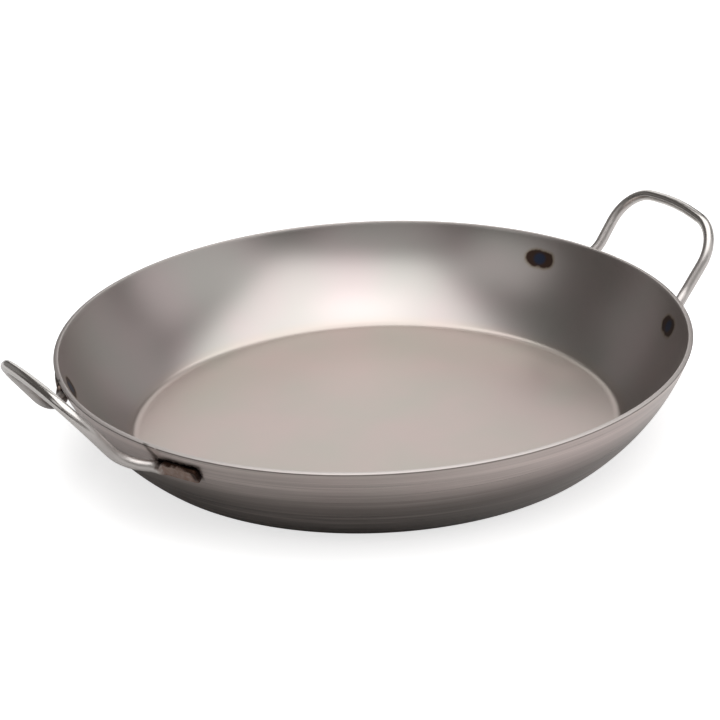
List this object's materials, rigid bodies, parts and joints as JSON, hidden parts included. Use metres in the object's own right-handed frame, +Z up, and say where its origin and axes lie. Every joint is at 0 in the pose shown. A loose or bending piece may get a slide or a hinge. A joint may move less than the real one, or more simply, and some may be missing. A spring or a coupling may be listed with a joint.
{
  "type": "two-handled steel pan",
  "caption": "Round sheet steel pan with a flat base, a flared bowed wall and bent round-bar loop handles spot welded to the outside of the wall",
  "frame": {"origin": "centre of the flat base, on the surface the pan stands on", "axes": "+Z up through the middle of the bowl, +X through the middle of one handle, +Y level and square to the handles"},
  "size_m": [0.4804, 0.3996, 0.098],
  "materials": {
    "pan_steel": "ground sheet steel, satin",
    "handle_bar": "polished steel bar, satin at the feet",
    "weld_metal": "heat-darkened weld metal"
  },
  "bodies": {
    "root": {"pan_body": "pan_steel", "handle_right": "handle_bar", "handle_left": "handle_bar", "spot_welds": "weld_metal"}
  },
  "joints": []
}
